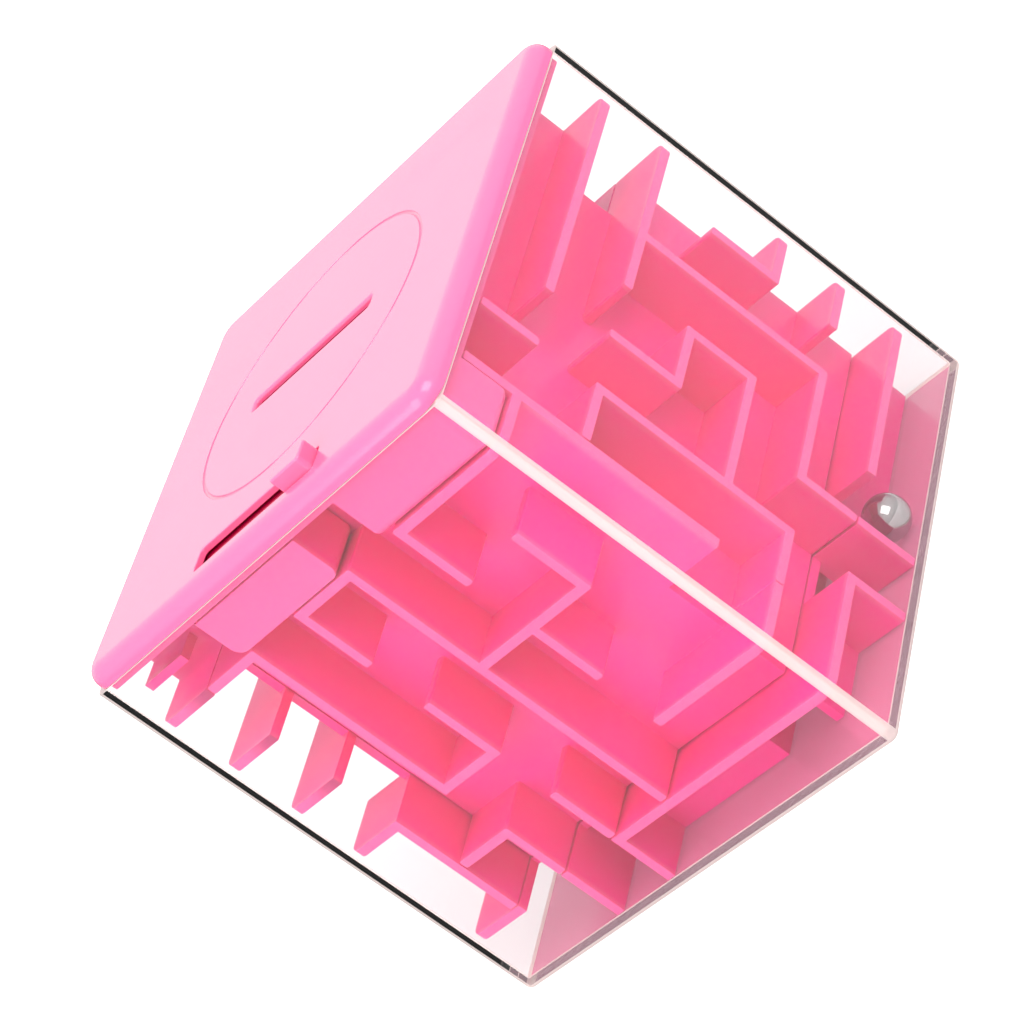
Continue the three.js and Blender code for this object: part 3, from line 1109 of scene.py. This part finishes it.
@dataclass(frozen=True)
class Studio:
    """The camera, the pale floor and the soft lamps."""

    azimuth: float = 40.24
    elevation: float = 17.75
    distance: float = 0.5908
    roll: float = -53.81
    lens: float = 129.06
    aim: tuple[float, float, float] = (-0.00826, 0.0076, 0.045)
    floor_size: float = 30.0
    floor_white: float = 0.86
    floor_card: float = 0.16
    floor_lift: float = 0.4
    floor_glow: float = 0.16
    floor_patch: tuple[float, float, float] = (0.125, -0.14, 0.0)
    patch_radius: float = 0.075
    sky: float = 1.25
    horizon: float = 0.8
    backdrop: float = 1.03
    lamps: tuple[StudioLamp, ...] = (
        StudioLamp("key_lamp", 75, 42, 0.75, 0.5, 2.7),
        StudioLamp("fill_lamp", -15, 25, 0.8, 0.6, 2.7),
    )

    def build(self) -> None:
        """Sets up the whole studio."""
        self._camera()
        self._floor()
        self._sky()
        for lamp in self.lamps:
            lamp.place(Vector(self.aim))
        bpy.context.scene.view_settings.view_transform = "Standard"

    def _camera(self) -> None:
        """Adds the camera, rolled about its line of sight."""
        data = bpy.data.cameras.new("camera")
        data.lens = self.lens
        data.sensor_width = 36
        data.clip_start = 0.01
        camera = bpy.data.objects.new("camera", data)
        bpy.context.scene.collection.objects.link(camera)
        away = direction(self.azimuth, self.elevation)
        level = (-away).to_track_quat("-Z", "Y")
        turn = Matrix.Rotation(math.radians(self.roll), 4, away)
        camera.matrix_world = (
            Matrix.Translation(Vector(self.aim) + away * self.distance)
            @ turn
            @ level.to_matrix().to_4x4()
        )
        bpy.context.scene.camera = camera

    def _floor(self) -> None:
        """Adds a plain pale floor that the object stands on."""
        object_mode()
        bpy.ops.object.select_all(action="DESELECT")
        bpy.ops.mesh.primitive_plane_add(size=self.floor_size, location=(0, 0, 0))
        floor = bpy.context.object
        floor.name = "floor"
        floor.data.materials.append(self._floor_finish())

    def _floor_finish(self) -> bpy.types.Material:
        """Makes the floor's matt white, which glossy pieces mirror as a grey card.

        The card has a pale patch in front of the nearest corner, so that rounded
        upright edges catch a line of light.
        """
        shader = Shader("pale_floor")
        sockets = shader.principled.inputs
        sockets["Roughness"].default_value = 0.9
        sockets["Specular IOR Level"].default_value = 0.1
        sockets["Emission Color"].default_value = WHITE
        rays = shader.add("ShaderNodeLightPath")
        place = shader.add("ShaderNodeTexCoord")
        away = shader.add("ShaderNodeVectorMath", operation="DISTANCE")
        away.inputs[1].default_value = self.floor_patch
        shader.link(place.outputs["Object"], away.inputs[0])
        patch = shader.add("ShaderNodeMapRange", interpolation_type="SMOOTHSTEP")
        patch.inputs["From Min"].default_value = self.patch_radius
        patch.inputs["From Max"].default_value = self.patch_radius * 0.7
        shader.link(away.outputs["Value"], patch.inputs["Value"])
        white = (self.floor_white,) * 3
        card = shader.two_tone(patch.outputs["Result"], (self.floor_card,) * 3, white)
        tone = shader.add("ShaderNodeMix", data_type="RGBA")
        tone.inputs["A"].default_value = (*white, 1)
        mirrored = shader.add("ShaderNodeMath", operation="MULTIPLY")
        shader.link(rays.outputs["Is Glossy Ray"], mirrored.inputs[0])
        shader.link(rays.outputs["Is Reflection Ray"], mirrored.inputs[1])
        shader.link(mirrored.outputs[0], tone.inputs["Factor"])
        shader.link(card, tone.inputs["B"])
        shader.link(tone.outputs["Result"], sockets["Base Color"])
        lift = shader.add("ShaderNodeMapRange")
        lift.inputs["To Min"].default_value = self.floor_glow
        lift.inputs["To Max"].default_value = self.floor_lift
        shader.link(rays.outputs["Is Camera Ray"], lift.inputs["Value"])
        shader.link(lift.outputs[0], sockets["Emission Strength"])
        return shader.material

    def _sky(self) -> None:
        """Lights the whole room evenly and shows it white."""
        world = bpy.data.worlds.new("white_room")
        world.use_nodes = True
        nodes, links = world.node_tree.nodes, world.node_tree.links
        backdrop = nodes["Background"]
        backdrop.inputs["Color"].default_value = WHITE
        look = nodes.new("ShaderNodeTexCoord")
        split = nodes.new("ShaderNodeSeparateXYZ")
        links.new(look.outputs["Generated"], split.inputs[0])
        rise = nodes.new("ShaderNodeMapRange")
        rise.interpolation_type = "SMOOTHSTEP"
        rise.inputs["From Min"].default_value = -0.25
        rise.inputs["From Max"].default_value = 0.55
        rise.inputs["To Min"].default_value = self.horizon
        rise.inputs["To Max"].default_value = self.sky
        links.new(split.outputs["Z"], rise.inputs["Value"])
        rays = nodes.new("ShaderNodeLightPath")
        strength = nodes.new("ShaderNodeMix")
        strength.inputs["B"].default_value = self.backdrop
        links.new(rays.outputs["Is Camera Ray"], strength.inputs["Factor"])
        links.new(rise.outputs["Result"], strength.inputs["A"])
        links.new(strength.outputs["Result"], backdrop.inputs["Strength"])
        bpy.context.scene.world = world


def main() -> None:
    """Builds the studio and every sub-assembly."""
    logging.basicConfig(level=logging.INFO, format="%(name)s: %(message)s")
    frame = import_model()
    Studio().build()
    shop = Workshop(nodes=frame["nodes"])
    shop.prepare()
    ClearCase(shop).build()
    MoneyBox(shop).build()
    Lid(shop, joints=frame["joints"]).build()
    Latch(shop).build()
    Ball(shop).build()


if __name__ == "__main__":
    main()
